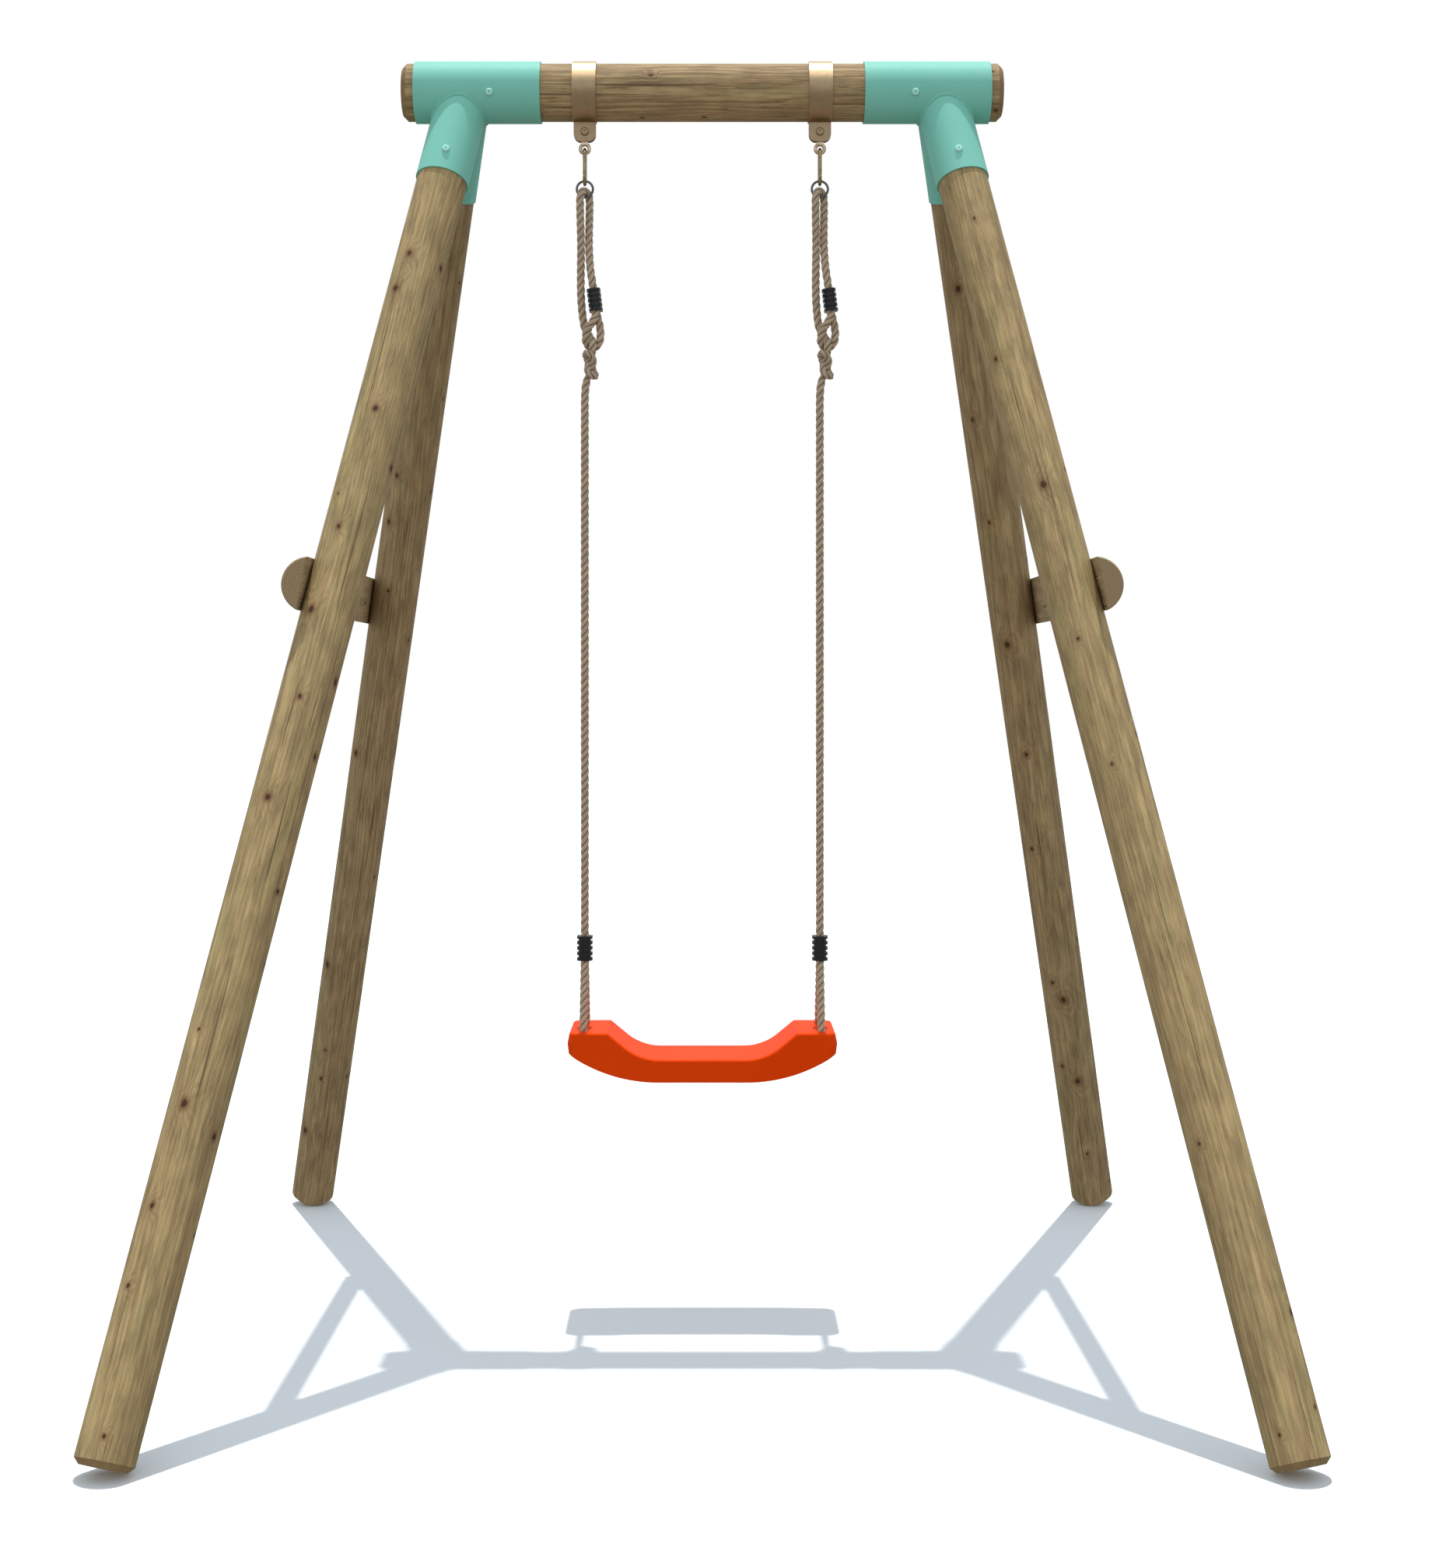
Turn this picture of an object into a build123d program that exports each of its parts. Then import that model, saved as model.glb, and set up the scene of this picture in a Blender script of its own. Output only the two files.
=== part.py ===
"""A garden swing set: a round pine A-frame, steel corner brackets and one rope-hung plastic seat.

Millimetres, +X to the right, +Y to the back, +Z up, origin on the ground under the middle.
"""

from build123d import *
import os
from math import asin, cos, pi, radians, sin, sqrt, tan

os.makedirs("parts", exist_ok=True)

# Driving dimensions of the frame
BEAM_Z = 2043.5
BEAM_LENGTH = 1002
BEAM_R = 47.5
LEG_R = 41
LEG_APEX = (400, 0, 2033.5)  # where the two leg axes of one side meet
LEG_FOOT = (792.4, 829.1, 13.65)  # centre of a foot's end face
LEG_TOP_GAP = 106  # wood starts this far below the apex, along the leg
END_CHAMFER = 8

# Corner brackets
SLEEVE_IN, SLEEVE_OUT = 270, 480  # the sleeve's ends along the beam
SLEEVE_R, SLEEVE_BORE = 51, 47.7
SOCKET_R, SOCKET_BORE, SOCKET_RIM = 43.7, 41.2, 168
SLEEVE_SCREW_X, SLEEVE_SCREW_DROP = 353, 12  # the drop is degrees below level
SOCKET_SCREW_AT = 132
SCREW_R, SCREW_LENGTH, SCREW_HEAD_R, SCREW_HEAD_H = 3, 40, 6, 3.6
PILOT_GAP = 0.05

# Side braces, split from a round log
BRACE_Z, BRACE_LENGTH, BRACE_R, BRACE_SPLIT = 1195.5, 800, 42.5, 11
COACH_R, COACH_LENGTH, COACH_HEAD_H, COACH_FLATS = 5, 80, 6.4, 17
COUNTERBORE_R, COUNTERBORE_DEPTH = 12, 10
WASHER_R, WASHER_T = 11, 2

# Hangers on the beam
ROPE_X = 197
BAND_WIDTH, TAB_WIDTH, BAND_T, BAND_BORE = 39, 37, 3.5, 47.65
TAB_GAP, TAB_LOW, TAB_CORNER = 7.7, 1961, 12.5
CLAMP_BOLT_Z, CLAMP_BOLT_R, CLAMP_HEAD_R, CLAMP_HEAD_H = 1977, 4, 7, 4
NUT_FLATS, NUT_H = 13, 6.5
EYE_Z, EYE_RING, EYE_WIRE, EYE_LUG_R = 1949.5, 7.5, 3, 9

# Snap hooks, each in the plane across the beam
HOOK_WIRE, HOOK_HALF, HOOK_TOP_Z, HOOK_LOW_Z = 3, 11, 1948.2, 1890.3
GATE_R, GATE_PIN_R, GATE_TONGUE = 2.9, 1, 2.4
RING_Z, RING_R, RING_WIRE = 1882, 13.5, 2

# Ropes and crimps
ROPE_R = 5.5
CRIMP_RIDGES, CRIMP_GROOVE = 5, 2.7
UPPER_CRIMP_TOP, UPPER_CRIMP_LOW = (14.5, 1714), (19, 1677)  # from the rope's line, and height
UPPER_CRIMP_SIZE, UPPER_CRIMP_SLOT = (34, 23), (22.8, 11.3)
LOWER_CRIMP_LOW, LOWER_CRIMP_TOP = 589.5, 630.5
LOWER_CRIMP_SIZE, LOWER_CRIMP_SLOT = (36, 26), (27, 11.3)
KNOT_X, KNOT_LOW, KNOT_TOP, KNOT_R = 8, 1561, 1611, 10.5

# Seat
SEAT_DEPTH, SEAT_WALL, SEAT_CORNER = 160, 4, 16
SEAT_HOLE_Y, SEAT_HOLE_R, SEAT_BOSS_R, SEAT_BOSS_LOW = 50, 7, 11, 462
SEAT_RIM_Z, SEAT_DIP_Z, SEAT_LOW_Z = 478, 434.5, 397
SEAT_RIM_ROUND = 4
RIB_X, RIB_Y, RIB_T, RIB_LIFT = (0, 60, 120, 178), 40, 3, 8


def keep(piece, name):
    """Label a finished piece and write its STEP file."""
    piece.part.label = name
    export_step(piece.part, f"parts/{name}.step")


def unit(side, back):
    """The downward direction of a leg."""
    down = Vector(*LEG_FOOT) - Vector(*LEG_APEX)
    down = down.normalized()
    return Vector(side * down.X, back * down.Y, down.Z)


def along_leg(side, back, distance):
    """The point on a leg's axis at a distance below the apex."""
    return Vector(side * LEG_APEX[0], 0, LEG_APEX[2]) + unit(side, back) * distance


def leg_face(side, back):
    """The direction square to a leg that faces straight out to its front or back."""
    down = unit(side, back)
    out = Vector(0, back, 0)
    return (out - down * out.dot(down)).normalized()


def side_out(side):
    """The outward normal of the plane that both legs of one side lie in."""
    down = Vector(side * (LEG_FOOT[0] - LEG_APEX[0]), 0, LEG_FOOT[2] - LEG_APEX[2]).normalized()
    return Vector(-side * down.Z, 0, side * down.X)


def brace_crossing(side, back):
    """Where a leg's axis passes the height of the brace."""
    down = unit(side, back)
    return along_leg(side, back, (BRACE_Z - LEG_APEX[2]) / down.Z)


def bracket_screw_planes(side):
    """A plane for each bracket screw, on the steel, facing outwards."""
    planes = []
    for back in (-1, 1):
        drop = radians(SLEEVE_SCREW_DROP)
        out = Vector(0, back * cos(drop), -sin(drop))
        seat = Vector(side * SLEEVE_SCREW_X, 0, BEAM_Z) + out * SLEEVE_R
        planes.append(Plane(origin=seat, z_dir=out))
        out = leg_face(side, back)
        seat = along_leg(side, back, SOCKET_SCREW_AT) + out * SOCKET_R
        planes.append(Plane(origin=seat, z_dir=out))
    return planes


def drill(plane, radius, depth):
    """Cut a round hole into the part being built, against the plane's normal."""
    with Locations(plane):
        Hole(radius, depth=depth)


# ---------------------------------------------------------------- timber
with BuildPart() as beam:
    with BuildSketch(Plane.YZ.offset(-BEAM_LENGTH / 2)):
        with Locations((0, BEAM_Z)):
            Circle(BEAM_R)
    extrude(amount=BEAM_LENGTH)
    chamfer(beam.faces().filter_by(GeomType.PLANE).edges(), END_CHAMFER)
    for side in (-1, 1):
        for plane in bracket_screw_planes(side)[::2]:
            drill(plane, SCREW_R + PILOT_GAP, SCREW_LENGTH + 1)
keep(beam, "top_beam")

for side, side_name in ((-1, "left"), (1, "right")):
    for back, row_name in ((-1, "front"), (1, "rear")):
        down = unit(side, back)
        length = (Vector(*LEG_FOOT) - Vector(*LEG_APEX)).length - LEG_TOP_GAP
        with BuildPart() as leg:
            with BuildSketch(Plane(origin=along_leg(side, back, LEG_TOP_GAP), z_dir=down)):
                Circle(LEG_R)
            extrude(amount=length)
            foot = leg.faces().filter_by(GeomType.PLANE).sort_by(Axis.Z)[0]
            chamfer(foot.edges(), END_CHAMFER)
            screw_plane = bracket_screw_planes(side)[1 if back < 0 else 3]
            drill(screw_plane, SCREW_R + PILOT_GAP, SCREW_LENGTH + 1)
            out = side_out(side)
            mouth = brace_crossing(side, back) + out * LEG_R
            drill(
                Plane(origin=mouth, z_dir=out),
                COACH_R + PILOT_GAP,
                COACH_LENGTH + 1 - (BRACE_R - BRACE_SPLIT - COUNTERBORE_DEPTH + WASHER_T),
            )
        keep(leg, f"{row_name}_{side_name}_leg")

for side, side_name in ((-1, "left"), (1, "right")):
    out = side_out(side)
    middle = brace_crossing(side, 1) * 0.5 + brace_crossing(side, -1) * 0.5
    flat = middle + out * LEG_R
    face_plane = Plane(
        origin=flat - Vector(0, BRACE_LENGTH / 2, 0), x_dir=out, z_dir=(0, 1, 0)
    )
    with BuildPart() as brace:
        with BuildSketch(face_plane):
            with Locations((-BRACE_SPLIT, 0)):
                Circle(BRACE_R)
            with Locations((-BRACE_R, 0)):
                Rectangle(2 * BRACE_R, 3 * BRACE_R, mode=Mode.SUBTRACT)
        extrude(amount=BRACE_LENGTH)
        chamfer(brace.faces().sort_by(Axis.Y)[0].edges(), 2)
        chamfer(brace.faces().sort_by(Axis.Y)[-1].edges(), 2)
        for back in (-1, 1):
            top = brace_crossing(side, back) + out * (LEG_R + BRACE_R - BRACE_SPLIT)
            drill(Plane(origin=top + out * 2, z_dir=out), COUNTERBORE_R, COUNTERBORE_DEPTH + 2)
            drill(Plane(origin=top, z_dir=out), COACH_R + PILOT_GAP, BRACE_R + 5)
    keep(brace, f"{side_name}_brace")

# ---------------------------------------------------------------- corner brackets
for side, side_name in ((-1, "left"), (1, "right")):
    with BuildPart() as bracket:
        for back in (-1, 1):
            with BuildSketch(Plane(origin=along_leg(side, back, 0), z_dir=unit(side, back))):
                Circle(SOCKET_R)
            extrude(amount=SOCKET_RIM)
        for back in (-1, 1):
            with BuildSketch(Plane(origin=along_leg(side, back, 0), z_dir=unit(side, back))):
                Circle(SOCKET_BORE)
            extrude(amount=SOCKET_RIM + 1, mode=Mode.SUBTRACT)
        with BuildSketch(Plane.YZ.offset(side * SLEEVE_IN)):
            with Locations((0, BEAM_Z)):
                Circle(SLEEVE_R)
        extrude(amount=side * (SLEEVE_OUT - SLEEVE_IN))
        with BuildSketch(Plane.YZ.offset(side * (SLEEVE_IN - 1))):
            with Locations((0, BEAM_Z)):
                Circle(SLEEVE_BORE)
        extrude(amount=side * (SLEEVE_OUT - SLEEVE_IN + 2), mode=Mode.SUBTRACT)
        for plane in bracket_screw_planes(side):
            drill(plane.offset(2), SCREW_R + PILOT_GAP, SOCKET_R - SOCKET_BORE + 4)
    keep(bracket, f"{side_name}_bracket")

    with BuildPart() as screws:
        for plane in bracket_screw_planes(side):
            with BuildSketch(plane):
                Circle(SCREW_R)
            extrude(amount=-SCREW_LENGTH)
        for plane in bracket_screw_planes(side):
            with BuildSketch(plane.offset(0.2)):
                Circle(SCREW_HEAD_R)
            extrude(amount=SCREW_HEAD_H)
            rim = screws.edges(Select.LAST).filter_by(GeomType.CIRCLE)
            tops = [e for e in rim if plane.to_local_coords(e.center()).Z > SCREW_HEAD_H]
            fillet(tops, SCREW_HEAD_H - 1)
            with BuildSketch(plane.offset(0.2 + SCREW_HEAD_H)):
                RegularPolygon(2.4, 6)
            extrude(amount=-2, mode=Mode.SUBTRACT)
            with BuildSketch(plane):
                Circle(SCREW_R)
            extrude(amount=0.3)
    keep(screws, f"{side_name}_bracket_screws")

# ---------------------------------------------------------------- brace fixings
for side, side_name in ((-1, "left"), (1, "right")):
    out = side_out(side)
    with BuildPart() as washers:
        for back in (-1, 1):
            seat_face = brace_crossing(side, back) + out * (
                LEG_R + BRACE_R - BRACE_SPLIT - COUNTERBORE_DEPTH
            )
            with BuildSketch(Plane(origin=seat_face, z_dir=out)):
                Circle(WASHER_R)
                Circle(COACH_R + 0.3, mode=Mode.SUBTRACT)
            extrude(amount=WASHER_T)
    keep(washers, f"{side_name}_brace_washers")

    with BuildPart() as coach_screws:
        for back in (-1, 1):
            head_face = brace_crossing(side, back) + out * (
                LEG_R + BRACE_R - BRACE_SPLIT - COUNTERBORE_DEPTH + WASHER_T
            )
            with BuildSketch(Plane(origin=head_face, z_dir=out)):
                RegularPolygon(COACH_FLATS / 2, 6, major_radius=False)
            extrude(amount=COACH_HEAD_H)
            with BuildSketch(Plane(origin=head_face, z_dir=out)):
                Circle(COACH_R)
            extrude(amount=-COACH_LENGTH)
    keep(coach_screws, f"{side_name}_brace_screws")

# ---------------------------------------------------------------- hangers
for side, side_name in ((-1, "left"), (1, "right")):
    x0 = side * ROPE_X
    band_r = BAND_BORE + BAND_T
    with BuildPart() as clamp:
        with BuildSketch(Plane.YZ.offset(x0 - BAND_WIDTH / 2)) as strap:
            with Locations((0, BEAM_Z)):
                Circle(band_r)
            with Locations((0, TAB_LOW)):
                Rectangle(
                    TAB_GAP + 2 * BAND_T, BEAM_Z - TAB_LOW, align=(Align.CENTER, Align.MIN)
                )
            bends = [
                v for v in strap.vertices() if TAB_LOW + 5 < v.Z < BEAM_Z - BAND_BORE + 5
            ]
            fillet(bends, 8)
            with Locations((0, BEAM_Z)):
                Circle(BAND_BORE, mode=Mode.SUBTRACT)
            with Locations((0, TAB_LOW - 1)):
                Rectangle(
                    TAB_GAP, BEAM_Z - TAB_LOW, align=(Align.CENTER, Align.MIN), mode=Mode.SUBTRACT
                )
        extrude(amount=BAND_WIDTH)
        with BuildSketch(Plane.XZ.offset(-band_r - 1)):
            with Locations((x0, BEAM_Z)):
                Rectangle(BAND_WIDTH, 2 * (band_r - 3))
            with Locations((x0, TAB_LOW)):
                RectangleRounded(
                    TAB_WIDTH, 2 * (BEAM_Z - TAB_LOW), TAB_CORNER, align=(Align.CENTER, Align.MIN)
                )
        extrude(amount=2 * band_r + 2, mode=Mode.INTERSECT)
        drill(
            Plane(origin=(x0, -20, CLAMP_BOLT_Z), z_dir=(0, -1, 0)), CLAMP_BOLT_R + 0.2, 40
        )
    keep(clamp, f"{side_name}_beam_clamp")

    tab_face = TAB_GAP / 2 + BAND_T
    with BuildPart() as bolt:
        with BuildSketch(Plane(origin=(x0, -tab_face, CLAMP_BOLT_Z), z_dir=(0, -1, 0))):
            Circle(CLAMP_HEAD_R)
        extrude(amount=CLAMP_HEAD_H)
        fillet(bolt.faces().sort_by(Axis.Y)[0].edges(), CLAMP_HEAD_H - 1)
        with BuildSketch(
            Plane(origin=(x0, -tab_face - CLAMP_HEAD_H, CLAMP_BOLT_Z), z_dir=(0, -1, 0))
        ):
            RegularPolygon(2.9, 6)
        extrude(amount=-2.5, mode=Mode.SUBTRACT)
        with BuildSketch(Plane(origin=(x0, -tab_face, CLAMP_BOLT_Z), z_dir=(0, 1, 0))):
            Circle(CLAMP_BOLT_R)
        extrude(amount=2 * tab_face + NUT_H + 2.5)
        chamfer(bolt.faces().sort_by(Axis.Y)[-1].edges(), 0.8)
    keep(bolt, f"{side_name}_clamp_bolt")

    with BuildPart() as nut:
        with BuildSketch(Plane(origin=(x0, tab_face, CLAMP_BOLT_Z), z_dir=(0, 1, 0))):
            RegularPolygon(NUT_FLATS / 2, 6, major_radius=False)
            Circle(CLAMP_BOLT_R + PILOT_GAP, mode=Mode.SUBTRACT)
        extrude(amount=NUT_H)
    keep(nut, f"{side_name}_clamp_nut")

    with BuildPart() as eye:
        with BuildSketch(Plane.XZ.offset(-(TAB_GAP / 2 - 0.05))):
            with Locations((x0, CLAMP_BOLT_Z)):
                Circle(EYE_LUG_R)
            with Locations((x0, EYE_Z + EYE_RING - 1)):
                Rectangle(
                    11, CLAMP_BOLT_Z - EYE_Z - EYE_RING + 1, align=(Align.CENTER, Align.MIN)
                )
            with Locations((x0, CLAMP_BOLT_Z)):
                Circle(CLAMP_BOLT_R + 0.1, mode=Mode.SUBTRACT)
        extrude(amount=TAB_GAP - 0.1)
        with BuildSketch(Plane.XY.offset(EYE_Z)):
            with Locations((x0 + EYE_RING, 0)):
                Circle(EYE_WIRE)
        revolve(axis=Axis((x0, 0, EYE_Z), (0, 1, 0)))
    keep(eye, f"{side_name}_hanger_eye")

# ---------------------------------------------------------------- snap hooks, gates and rings
HOOK_MID_Z = (HOOK_TOP_Z + HOOK_LOW_Z) / 2
ARC_TOP_Z = HOOK_TOP_Z - HOOK_HALF
ARC_LOW_Z = HOOK_LOW_Z + HOOK_HALF
NOSE_Z = HOOK_MID_Z + 13
PIVOT_Z = HOOK_MID_Z - 12
TONGUE_FOOT_Z = PIVOT_Z - 5

for side, side_name in ((-1, "left"), (1, "right")):
    x0 = side * ROPE_X
    with BuildPart() as hook:
        with BuildLine(Plane.YZ.offset(x0)) as wire:
            Line((-HOOK_HALF, TONGUE_FOOT_Z), (-HOOK_HALF, ARC_LOW_Z))
            ThreePointArc(
                (-HOOK_HALF, ARC_LOW_Z), (0, HOOK_LOW_Z), (HOOK_HALF, ARC_LOW_Z)
            )
            Line((HOOK_HALF, ARC_LOW_Z), (HOOK_HALF, ARC_TOP_Z))
            ThreePointArc(
                (HOOK_HALF, ARC_TOP_Z), (0, HOOK_TOP_Z), (-HOOK_HALF, ARC_TOP_Z)
            )
            Line((-HOOK_HALF, ARC_TOP_Z), (-HOOK_HALF, NOSE_Z))
        with BuildSketch(Plane.XY.offset(TONGUE_FOOT_Z)):
            with Locations((x0, -HOOK_HALF)):
                Circle(HOOK_WIRE)
        sweep(path=wire.wire())
        with BuildSketch(Plane.XY.offset(TONGUE_FOOT_Z - 1)):
            with Locations((x0, -HOOK_HALF)):
                Rectangle(GATE_TONGUE, 4.4)
        extrude(amount=PIVOT_Z + 2.4 - TONGUE_FOOT_Z + 1)
        drill(
            Plane(origin=(x0 - 5, -HOOK_HALF, PIVOT_Z), z_dir=(-1, 0, 0)), GATE_PIN_R, 10
        )
    keep(hook, f"{side_name}_snap_hook")

    with BuildPart() as gate:
        with BuildSketch(Plane.XY.offset(PIVOT_Z - 3.6)):
            with Locations((x0, -HOOK_HALF)):
                Circle(GATE_R)
        extrude(amount=NOSE_Z - 0.3 - PIVOT_Z + 3.6)
        with BuildSketch(Plane.XY.offset(PIVOT_Z - 4)):
            with Locations((x0, -HOOK_HALF)):
                Rectangle(GATE_TONGUE + 0.3, 2 * GATE_R + 1)
        extrude(amount=4 + 3.2, mode=Mode.SUBTRACT)
        drill(
            Plane(origin=(x0 - 5, -HOOK_HALF, PIVOT_Z), z_dir=(-1, 0, 0)),
            GATE_PIN_R + PILOT_GAP,
            10,
        )
    keep(gate, f"{side_name}_hook_gate")

    with BuildPart() as pin:
        with BuildSketch(Plane.YZ.offset(x0 - HOOK_WIRE)):
            with Locations((-HOOK_HALF, PIVOT_Z)):
                Circle(GATE_PIN_R)
        extrude(amount=2 * HOOK_WIRE)
    keep(pin, f"{side_name}_gate_pin")

    with BuildPart(Plane(origin=(x0, 0, RING_Z), z_dir=(0, 1, 0))) as ring:
        Torus(RING_R, RING_WIRE)
    keep(ring, f"{side_name}_rope_ring")


# ---------------------------------------------------------------- crimps
def crimp(plane, height, size, slot):
    """A ribbed oval sleeve with a slot for two strands, standing on its plane."""
    ridge = height / (2 * CRIMP_RIDGES - 1)
    with BuildPart() as sleeve:
        with BuildSketch(plane):
            SlotOverall(size[0] - 2 * CRIMP_GROOVE, size[1] - 2 * CRIMP_GROOVE)
        extrude(amount=height)
        for i in range(CRIMP_RIDGES):
            with BuildSketch(plane.offset(2 * i * ridge)):
                SlotOverall(*size)
            extrude(amount=ridge)
        with BuildSketch(plane.offset(-1)):
            SlotOverall(*slot)
        extrude(amount=height + 2, mode=Mode.SUBTRACT)
    return sleeve


def upper_crimp_plane(x0):
    """The tilted plane of the upper crimp's lower end, with its x along the slot."""
    rise = Vector(UPPER_CRIMP_TOP[0], 0, UPPER_CRIMP_TOP[1]) - Vector(
        UPPER_CRIMP_LOW[0], 0, UPPER_CRIMP_LOW[1]
    )
    low = (x0 + UPPER_CRIMP_LOW[0], 0, UPPER_CRIMP_LOW[1])
    return Plane(origin=low, x_dir=(0, 1, 0), z_dir=rise)


UPPER_CRIMP_H = sqrt(
    (UPPER_CRIMP_TOP[0] - UPPER_CRIMP_LOW[0]) ** 2 + (UPPER_CRIMP_TOP[1] - UPPER_CRIMP_LOW[1]) ** 2
)
for side, side_name in ((-1, "left"), (1, "right")):
    x0 = side * ROPE_X
    keep(
        crimp(upper_crimp_plane(x0), UPPER_CRIMP_H, UPPER_CRIMP_SIZE, UPPER_CRIMP_SLOT),
        f"{side_name}_upper_crimp",
    )
    base = Plane(origin=(x0, 0, LOWER_CRIMP_LOW), x_dir=(0, 1, 0), z_dir=(0, 0, 1))
    keep(
        crimp(base, LOWER_CRIMP_TOP - LOWER_CRIMP_LOW, LOWER_CRIMP_SIZE, LOWER_CRIMP_SLOT),
        f"{side_name}_lower_crimp",
    )


# ---------------------------------------------------------------- ropes
def corner_radii(points):
    """The radius of each arc: 0.45 of its shorter run over the tangent of half its turn."""
    radii = []
    for before, at, after in zip(points, points[1:], points[2:]):
        arrive = Vector(*at) - Vector(*before)
        leave = Vector(*after) - Vector(*at)
        half = radians(arrive.get_angle(leave)) / 2
        radii.append(0.45 * min(arrive.length, leave.length) / tan(half))
    return radii


def rope(points, name):
    """A round rope along straight runs and tangent arcs."""
    radii = corner_radii(points)
    with BuildPart() as tube:
        with BuildLine() as route:
            if radii:
                FilletPolyline(*points, radius=radii)
            else:
                Line(*points)
        start = route.wire()
        with BuildSketch(Plane(origin=start @ 0, z_dir=start % 0)):
            Circle(ROPE_R)
        sweep(path=start)
    section = pi * ROPE_R**2
    print(
        name,
        "length",
        round(start.length, 1),
        "volume / (section x length)",
        round(tube.part.volume / section / start.length, 4),
        "radii",
        [round(r, 1) for r in radii],
    )
    keep(tube, name)


# Each route is (offset to the right of the rope's line, depth, height).
MAIN_ROUTE = [(0, 0, 612), (0, 0, 1566)]
NOOSE_ROUTE = [
    (9.5, -6, 1606),
    (11, -8, 1621),
    (13.5, 1, 1641),
    (4, 9.5, 1662),
    (-5.5, 5, 1687),
    (-7, 0, 1730),
    (-6, -2, 1790),
    (-7.5, -9.4, 1842),
    (-7.5, -9.4, 1878.5),
    (7.5, 9.4, 1878.5),
    (7.5, 9.4, 1842),
    (6.5, 2, 1790),
    (9, -5, 1748),
    (13.53, -5.7, 1722),
    (16.74, -5.7, 1695.6),
]
EYE_ROUTE = [
    (16.75, -5.7, 1695.5),
    (19.73, -5.7, 1671),
    (11, -8, 1658),
    (1, -6.5, 1643),
    (0, 4.5, 1627),
    (12, 8, 1615),
    (26, 6, 1619),
    (31, 4, 1640),
    (26, 5, 1658),
    (19.73, 5.7, 1671),
    (15.5, 5.7, 1706),
]
SEAT_ROUTE = [
    (0, -5.6, 600),
    (0, -5.6, 588),
    (0, -SEAT_HOLE_Y, 484),
    (0, -SEAT_HOLE_Y, 449.5),
    (0, SEAT_HOLE_Y, 449.5),
    (0, SEAT_HOLE_Y, 484),
    (0, 5.6, 588),
    (0, 5.6, 600),
]
ROUTES = {
    "main_rope": MAIN_ROUTE,
    "noose_rope": NOOSE_ROUTE,
    "eye_rope": EYE_ROUTE,
    "seat_rope": SEAT_ROUTE,
}

for side, side_name in ((-1, "left"), (1, "right")):
    x0 = side * ROPE_X
    for route_name, points in ROUTES.items():
        rope([(x0 + x, y, z) for x, y, z in points], f"{side_name}_{route_name}")
    with BuildPart() as knot:
        with BuildSketch(Plane.XY.offset(KNOT_LOW)):
            with Locations((x0 + KNOT_X, 0)):
                Circle(KNOT_R)
        extrude(amount=KNOT_TOP - KNOT_LOW)
        fillet(knot.edges().filter_by(GeomType.CIRCLE), KNOT_R - 4)
    keep(knot, f"{side_name}_rope_knot")

# ---------------------------------------------------------------- seat
BOWL_X, BOWL_END, RIM_IN, RIM_OUT = 70, (125, 452.5), 156, 219
WIDEST, HEEL, FLAT_X = (222.5, 460), (220.5, 443.5), 73


def seat_side(sign, lower):
    """One half of the seat's outline, each point moved down by lower."""
    bowl_r = (BOWL_END[0] - BOWL_X) ** 2 + (BOWL_END[1] - SEAT_DIP_Z) ** 2
    bowl_r = bowl_r / (2 * (BOWL_END[1] - SEAT_DIP_Z))
    half = asin((BOWL_END[0] - BOWL_X) / bowl_r) / 2
    mid = (
        sign * (BOWL_X + bowl_r * sin(half)),
        SEAT_DIP_Z + bowl_r * (1 - cos(half)) - lower,
    )
    Line((0, SEAT_DIP_Z - lower), (sign * BOWL_X, SEAT_DIP_Z - lower))
    ThreePointArc(
        (sign * BOWL_X, SEAT_DIP_Z - lower), mid, (sign * BOWL_END[0], BOWL_END[1] - lower)
    )
    Line((sign * BOWL_END[0], BOWL_END[1] - lower), (sign * RIM_IN, SEAT_RIM_Z - lower))


def seat_under(sign, lift):
    """The curved lower edge of one half of the seat, moved up by lift."""
    low = SEAT_LOW_Z + lift
    rise = HEEL[1] - SEAT_LOW_Z
    run = HEEL[0] - FLAT_X
    under_r = (run**2 + rise**2) / (2 * rise)
    half = asin(run / under_r) / 2
    mid = (sign * (FLAT_X + under_r * sin(half)), low + under_r * (1 - cos(half)))
    ThreePointArc((sign * HEEL[0], HEEL[1] + lift), mid, (sign * FLAT_X, low))
    Line((sign * FLAT_X, low), (0, low))


with BuildPart() as rib_grid:
    for x in RIB_X:
        with Locations((x, 0, SEAT_LOW_Z + RIB_LIFT), (-x, 0, SEAT_LOW_Z + RIB_LIFT)):
            Box(RIB_T, SEAT_DEPTH - SEAT_WALL, 100, align=(Align.CENTER, Align.CENTER, Align.MIN))
    for y in (-RIB_Y, 0, RIB_Y):
        with Locations((0, y, SEAT_LOW_Z + RIB_LIFT)):
            Box(2 * RIB_X[-1], RIB_T, 100, align=(Align.CENTER, Align.CENTER, Align.MIN))

with BuildPart() as ribs:
    with BuildSketch(Plane.XZ.offset(-SEAT_DEPTH / 2 + SEAT_WALL / 2)):
        with BuildLine():
            for sign in (-1, 1):
                seat_side(sign, SEAT_WALL / 2)
                Line(
                    (sign * RIM_IN, SEAT_RIM_Z - SEAT_WALL / 2),
                    (sign * HEEL[0], SEAT_RIM_Z - SEAT_WALL / 2),
                )
                Line(
                    (sign * HEEL[0], SEAT_RIM_Z - SEAT_WALL / 2),
                    (sign * HEEL[0], HEEL[1] + RIB_LIFT),
                )
                seat_under(sign, RIB_LIFT)
        make_face()
    extrude(amount=SEAT_DEPTH - SEAT_WALL)
    add(rib_grid.part, mode=Mode.INTERSECT)

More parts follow.
